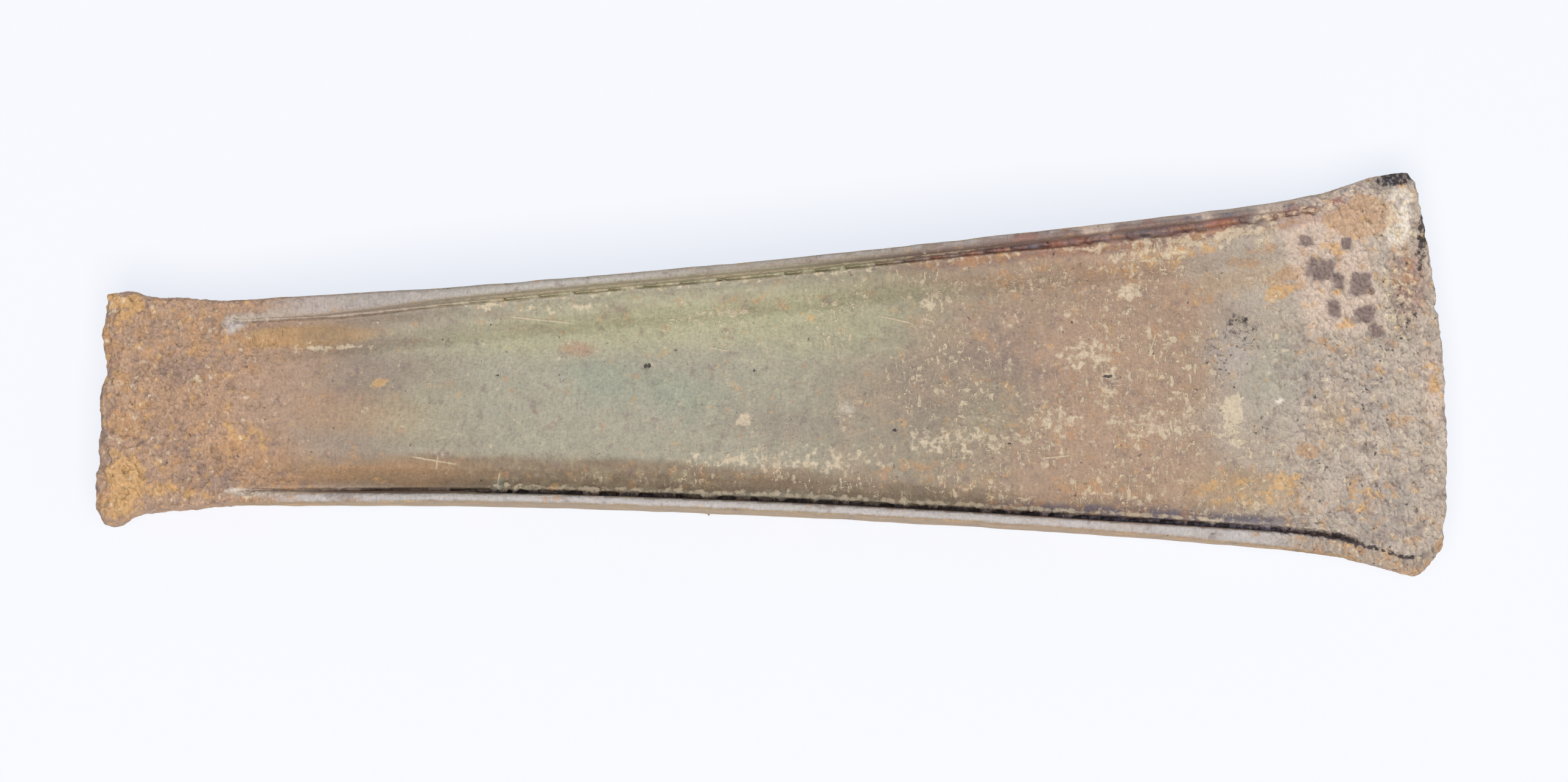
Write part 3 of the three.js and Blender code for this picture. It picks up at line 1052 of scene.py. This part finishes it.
        # How strongly the pale crest colour is laid: rubbed metal and painted highlight, more on the right
        # crest, which faces the key light.
        wear_and_highlight = at.by_side(0.6 * (1 - fading) + 0.75 * outer * fading, 0.95 + 0.3 * self.streaks)
        self.clear(0.8 * top * standing, *CRUSTS)
        self.clear(0.5 * side * self.flanged, *CRUSTS)
        self.lay("drab", 0.8 * top * standing * at.by_side(fading * (1 - smooth(at.along, 95, 115)), 0))
        self.lay("plum", 0.8 * top * standing * at.by_side(smooth(at.along, 95, 115), 0))
        self.lay("steel", wear_and_highlight * top * standing)
        crusty = at.by_side(smooth(at.along, 108, 125), 0.0)
        crusty = crusty * (1 - smooth(at.inset, at.crest, at.crest + 0.6))
        self.lay("brick", 0.8 * crusty * smooth(self.ragged - self.cloud, 0.1, 0.7))
        self.lay("shell", 0.8 * crusty * smooth(self.cloud - 0.7 * self.ragged, 0.2, 0.8))
        self.lay("slate", 0.7 * crusty * smooth(self.grit + 0.6 * self.streaks, 0.3, 0.9))
        self.lay("honey", at.by_side(0.4, 0.8) * side * self.flanged)
        self.lay("umber", 0.4 * side * self.flanged * smooth(self.streaks, -0.2, 0.5))
        self.spread("rust", 0.55 * (side + 0.6 * top) * self.flanged * smooth(self.streaks, 0.0, 0.6))
        self.spread("plum", 0.5 * top * standing * smooth(self.ragged, 0.0, 0.6))
        self.spread("ochre", 0.55 * side * self.flanged * smooth(-self.streaks, 0.0, 0.5))
        self.lay("plum", 0.6 * smooth(-at.normal[:, 0], 0.25, 0.7) * self.butt)
        bevel = (1 - smooth(at.inset, at.crest - 0.2, at.crest)) * smooth(at.along, 146, 158) * (at.side < 0)
        self.spread("rust", 0.5 * bevel)
        self.lay("umber", 0.35 * bevel)

    def lime_density(self):
        """How thick the hairlines and specks of lime lie."""
        at = self.at
        field = smooth(at.along, 44, 120) * (1 - smooth(at.along, 150, 160))
        patches = smooth(waves(at.place, 7.5, 48) + 0.5 * self.ragged, -0.4, 0.6)
        foot = between(at.inset, at.foot + 0.5, at.foot + 5, 2) * between(at.along, 44, 150, 8)
        on_plate = smooth(at.inset, at.foot + 0.2, at.foot + 1.2)
        return on_plate * np.clip(field * (0.25 + 0.75 * patches) + 0.4 * foot * patches, 0, 1)

    def keep(self, mesh):
        """Writes the colours and the densities into the mesh."""
        skin = mesh.attributes.new("skin", "FLOAT_COLOR", "POINT")
        rgba = np.ones((len(self.colour), 4), np.float32)
        rgba[:, :3] = np.clip(self.colour, 0, 1)
        skin.data.foreach_set("color", rgba.ravel())
        for name, values in self.fields.items():
            field = mesh.attributes.new(name, "FLOAT", "POINT")
            field.data.foreach_set("value", values.astype(np.float32))


BUMP = 0.2 * MM  # height of the grain that is finer than the mesh
METALLIC = 0.1  # hardly any bare metal shows through the skin
SHEEN = 0.35
FAR = 1e6  # a scratch reaches this many millimetres up and down, so that it shows at any height


class Patina(Finish):
    """The axe head's skin, with the grain that is finer than its mesh."""

    def __init__(self, colours):
        """A place on it is in millimetres from the butt, the middle line and the mid thickness."""
        super().__init__("patina")
        self.colours = colours
        place = self.node("ShaderNodeTexCoord", {}, {}, "Object")
        self.place = self.stretch(place, (MM, MM, MM), 0, (BUTT, 0, MIDDLE))
        self.swirl = self.node(
            "ShaderNodeTexNoise", {}, {"Vector": self.place, "Scale": 0.5, "Detail": 1.0}, "Color"
        )
        self.build()

    def __getitem__(self, name):
        """A colour of the settings."""
        return tuple(getattr(self.colours, name))

    def shifted(self, *by):
        """The place, moved so that two noises of one size differ."""
        return self.stretch(self.place, (1, 1, 1), 0, by)

    def part(self, vector, axis):
        """One coordinate of a place."""
        return self.node("ShaderNodeSeparateXYZ", {}, {"Vector": vector}, axis)

    def bend(self, cells, by):
        """Cells whose rows are not straight."""
        sockets = {0: self.swirl, 1: (by, by, by), 2: cells}
        return self.node("ShaderNodeVectorMath", {"operation": "MULTIPLY_ADD"}, sockets)

    def flecks(self, seed, long, wide, turn, share, reach):
        """Scattered short marks: their size, their turn, the share of cells with one and their reach."""
        cells = self.stretch(self.place, (long, wide, 3), turn, (seed * 3.7, seed * 1.9, seed))
        sockets = {"Vector": self.bend(cells, 1.2), "Scale": 1.0, "Randomness": 1.0}
        gap = self.node("ShaderNodeTexVoronoi", {}, sockets, "Distance")
        pick = self.node("ShaderNodeTexVoronoi", {}, sockets, "Color")
        chosen = self.node("ShaderNodeSeparateColor", {}, {"Color": pick}, "Red")
        return (1 - gap.step(reach * 0.6, reach)) * (chosen < share)

    def hairlines(self, size, shift, thick):
        """Thin wandering lines."""
        wandering = self.noise(self.shifted(shift, shift, shift), size, 2, 0.5)
        return 1 - (wandering - 0.5).size().step(thick * 0.4, thick)

    def scratch(self, along, across, long, thin, turn):
        """One straight hairline on the upper face."""
        line = self.stretch(self.place, (long, thin, FAR), turn, (along, across, 0))
        on = self.part(line, "X").size()
        off = self.part(line, "Y").size()
        above = self.part(self.place, "Z").step(-0.5, 0.5)
        return (1 - on.step(0.6, 1.1)) * (1 - off.step(0.4, 1.3)) * above

    def crust(self, under, name, opacity):
        """A crust over the skin: its field says how much of the ground it covers."""
        seed, size = CRUSTS[name]
        torn = self.noise(self.shifted(31 * seed, 17 * seed, 5 * seed), size, 3, 0.6)
        mask = (self.attribute(name) + (torn - 0.5) * TEAR).step(*CRUST_RIM)
        return self.paint(under, self[name], mask * opacity)

    def build(self):
        """Crusts, specks, scratches and cracks over the skin, then tone, roughness and bump."""
        skin = self.node("ShaderNodeAttribute", {"attribute_name": "skin"}, {}, "Color")
        rough = self.attribute("rough")
        lime = self.attribute("lime")
        brushed = self.noise(self.stretch(self.place, (0.3, 1.0, 1.0)), 1.0, 2, 0.6)
        dust = self.noise(self.place, 0.42, 2, 0.65)
        cells = self.bend(self.stretch(self.place, (0.5, 0.62, 0.6), 12), 0.8)
        grain = self.node("ShaderNodeTexVoronoi", {}, {"Vector": cells, "Scale": 1.0}, "Distance")

        for name, opacity in (("plum", 0.5), ("rust", 0.55), ("ochre", 0.7), ("cream", 0.75)):
            skin = self.crust(skin, name, opacity)

        upright = self.flecks(1, 1.1, 2.6, 6, 0.25, 0.3)
        level = self.flecks(2, 2.8, 1.0, -4, 0.2, 0.3)
        dots = self.flecks(3, 1.7, 1.7, 0, 0.35, 0.34)
        curls = self.hairlines(2.4, 0, 0.022).high(self.hairlines(1.5, 40, 0.03))
        marks = upright.high(level).high(dots).high(curls * brushed.step(0.42, 0.56))
        marks = marks * (lime + (self.noise(self.place, 1.0, 3, 0.7) - 0.5) * 1.6).step(0.25, 0.8)
        for along, across, long, thin, turn in SCRATCHES:
            marks = marks.high(self.scratch(along, across, long, thin, turn))
        skin = self.paint(skin, self["cream"], marks * (0.25 + dust * 0.8))
        # black dirt, and also the right groove's painted shadow
        skin = self.crust(skin, "soot", 0.9)
        cracks = self.hairlines(1.1, 70, 0.05) * self.attribute("soot").step(0.1, 0.34)
        cracks = cracks * dust.step(0.4, 0.6)
        skin = self.paint(skin, self["soot"], cracks * 0.65)

        leather = self.noise(self.stretch(self.place, (1.0, 1.3, 1.0), 25), 1.15, 2, 0.5)
        tone = 1.02 + (brushed - 0.5) * 0.4 + (dust - 0.5) * (0.55 + rough * 0.1)
        # the term rough * 0.16 is painted light: it lifts the rough zones' colour to make up for the shade
        # that their bump throws
        tone = tone - (grain - 0.6) * (0.06 + rough * 0.35) + (leather - 0.5) * rough * 0.5 + rough * 0.16
        skin = self.shade(skin, tone)

        dull = 0.5 + dust * 0.1 + rough * 0.2 + marks * 0.2
        height = brushed * 0.35 + dust * (0.5 + rough * 0.5) + leather * rough * 5
        height = height - grain * (0.1 + rough * 0.9) + marks * 0.3
        bump = self.node("ShaderNodeBump", {}, {"Strength": 1.0, "Distance": BUMP, "Height": height})
        shader = self.node(
            "ShaderNodeBsdfPrincipled",
            {},
            {
                "Base Color": skin,
                "Roughness": dull.low(0.95),
                "Metallic": METALLIC,
                "Specular IOR Level": SHEEN,
                "Normal": bump,
            },
        )
        self.node("ShaderNodeOutputMaterial", {}, {"Surface": shader})


PAPER_SIZE = 1.5  # half the width of the sheet, in metres
# The paper's glow is emission, painted light that keeps the shadows on it faint.
PAPER_STRENGTH = 1.03  # of the light from beneath
KEY_SIZE = 0.7
KEY_PLACE = (0, -0.3, 1.15)
KEY_COLOUR = (1.0, 0.99, 0.97)
SKY_COLOUR = (0.93, 0.96, 1.0)
VIEW_WIDTH = 0.2031  # what the picture takes in from left to right, in metres
VIEW_SHIFT = (0.0018, -0.0001)  # of its middle from the axe head's, to the right and up
SENSOR = 36


class Paper(Finish):
    """The pale matt table top, which glows as though lit from beneath: part of its brightness is emission,
    painted light that keeps the shadows on it faint.
    """

    def __init__(self, shade, glow):
        super().__init__("paper")
        sockets = {
            "Base Color": tuple(channel * (1 - share) for channel, share in zip(shade, glow)),
            "Roughness": 0.9,
            "Specular IOR Level": 0.0,
            "Emission Color": tuple(channel * share for channel, share in zip(shade, glow)),
            "Emission Strength": PAPER_STRENGTH,
        }
        shader = self.node("ShaderNodeBsdfPrincipled", {}, sockets)
        self.node("ShaderNodeOutputMaterial", {}, {"Surface": shader})


# ---------------------------------------------------------------------------
# Operators
# ---------------------------------------------------------------------------


def link(name, mesh):
    """An object for the mesh, in the scene."""
    made = bpy.data.objects.new(name, mesh)
    bpy.context.scene.collection.objects.link(made)
    return made


def through_modifier(mesh, kind, group=None, **settings):
    """The mesh after one modifier, which may work on a group of vertices only."""
    holder = link("holder", mesh)
    modifier = holder.modifiers.new(kind, kind)
    if group is not None:
        holder.vertex_groups.new(name="group").add(group.tolist(), 1, "REPLACE")
        modifier.vertex_group = "group"
    for name, value in settings.items():
        setattr(modifier, name, value)
    depsgraph = bpy.context.evaluated_depsgraph_get()
    made = bpy.data.meshes.new_from_object(holder.evaluated_get(depsgraph))
    bpy.data.objects.remove(holder)
    return made


def triangles(mesh):
    """How many triangles the mesh has."""
    return sum(len(face.vertices) - 2 for face in mesh.polygons)


def thin(mesh, settings):
    """The mesh with fewer faces, and more of them on the upper half than on the lower."""
    both = settings.faces_above + settings.faces_below
    total = triangles(mesh)
    below = np.flatnonzero(vectors(mesh.vertices, "co")[:, 2] < MIDDLE)
    kept = settings.faces_below + total / 2
    mesh = through_modifier(mesh, "DECIMATE", below, ratio=kept / total)
    return through_modifier(mesh, "DECIMATE", ratio=both / triangles(mesh))


MERGE = 1e-6  # vertices of the cast solid nearer than this are one


class OBJECT_OT_axe_head(bpy.types.Operator):
    """Builds the weathered axe head round the cast solid"""

    bl_idname = "object.axe_head"
    bl_label = "Axe Head"

    def execute(self, context):
        settings = context.scene.axe_head
        bm = bmesh.new()
        bm.from_mesh(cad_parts[NODE].data)
        bmesh.ops.remove_doubles(bm, verts=bm.verts, dist=MERGE)
        tree = BVHTree.FromBMesh(bm)
        set_crumbs(bm, tree)

        mesh = mesh_from(bm, "cast_with_crumbs")
        mesh = through_modifier(mesh, "REMESH", mode="VOXEL", voxel_size=settings.grain, adaptivity=0)
        mesh = through_modifier(mesh, "SMOOTH", factor=0.5, iterations=2)
        sharpen(mesh, tree)
        weather(mesh, settings)
        mesh = thin(mesh, settings)
        keep_inside(mesh)
        mesh.shade_smooth()
        Skin(Survey(mesh), stand(mesh, tree)[1], settings).keep(mesh)
        mesh.materials.clear()
        mesh.materials.append(Patina(settings).material)

        piece = link("axe_head_surface", mesh)
        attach(piece, "root")
        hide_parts(NODE)
        return {"FINISHED"}


class OBJECT_OT_stage(bpy.types.Operator):
    """Lays out the paper, the lights and the camera"""

    bl_idname = "object.stage"
    bl_label = "Stage"

    def execute(self, context):
        settings = context.scene.stage
        self.paper(settings)
        self.lights(context, settings)
        self.camera(context, settings)
        context.scene.view_settings.view_transform = "Standard"
        return {"FINISHED"}

    def paper(self, settings):
        """The sheet that the axe head lies on."""
        bm = bmesh.new()
        bmesh.ops.create_grid(bm, x_segments=1, y_segments=1, size=PAPER_SIZE)
        mesh = mesh_from(bm, "paper")
        mesh.materials.append(Paper(settings.paper, settings.glow).material)
        link("paper", mesh)

    def lights(self, context, settings):
        """One large light overhead and a pale sky."""
        light = bpy.data.lights.new("key", "AREA")
        light.shape = "SQUARE"
        light.size = KEY_SIZE
        light.energy = settings.key_power
        light.color = KEY_COLOUR
        lamp = bpy.data.objects.new("key", light)
        context.scene.collection.objects.link(lamp)
        lamp.location = KEY_PLACE
        lamp.rotation_euler = (-lamp.location).to_track_quat("-Z", "Y").to_euler()
        world = bpy.data.worlds.new("sky")
        world.use_nodes = True
        background = world.node_tree.nodes["Background"]
        background.inputs["Color"].default_value = (*SKY_COLOUR, 1)
        background.inputs["Strength"].default_value = settings.sky
        context.scene.world = world

    def camera(self, context, settings):
        """A camera that looks down on the axe head, a little from the right side."""
        lens = bpy.data.cameras.new("camera")
        lens.sensor_width = SENSOR
        lens.lens = lens.sensor_width * settings.distance / VIEW_WIDTH
        camera = bpy.data.objects.new("camera", lens)
        context.scene.collection.objects.link(camera)
        back = Vector((0, -math.sin(settings.tilt), math.cos(settings.tilt)))
        right = Vector((math.cos(settings.turn), -math.sin(settings.turn), 0))
        up = back.cross(right)
        right = up.cross(back)
        turn = Matrix((right, up, back)).transposed()
        centre = Vector((0, 0, MIDDLE)) + right * VIEW_SHIFT[0] + up * VIEW_SHIFT[1]
        camera.matrix_world = Matrix.Translation(centre + back * settings.distance) @ turn.to_4x4()
        context.scene.camera = camera


class VIEW3D_PT_axe_head(bpy.types.Panel):
    """Lists the axe head's operators and settings"""

    bl_label = "Axe Head"
    bl_space_type = "VIEW_3D"
    bl_region_type = "UI"
    bl_category = "Axe Head"

    def draw(self, context):
        for operator, settings in (
            (OBJECT_OT_axe_head, context.scene.axe_head),
            (OBJECT_OT_stage, context.scene.stage),
        ):
            self.layout.operator(operator.bl_idname)
            for name in settings.__annotations__:
                self.layout.prop(settings, name)


CLASSES = (AxeHeadSettings, StageSettings, OBJECT_OT_axe_head, OBJECT_OT_stage, VIEW3D_PT_axe_head)


def register():
    for each in CLASSES:
        bpy.utils.register_class(each)
    bpy.types.Scene.axe_head = bpy.props.PointerProperty(type=AxeHeadSettings)
    bpy.types.Scene.stage = bpy.props.PointerProperty(type=StageSettings)


def unregister():
    del bpy.types.Scene.stage
    del bpy.types.Scene.axe_head
    for each in reversed(CLASSES):
        bpy.utils.unregister_class(each)


def main():
    register()
    bpy.ops.object.stage()
    bpy.ops.object.axe_head()


if __name__ == "__main__":
    main()
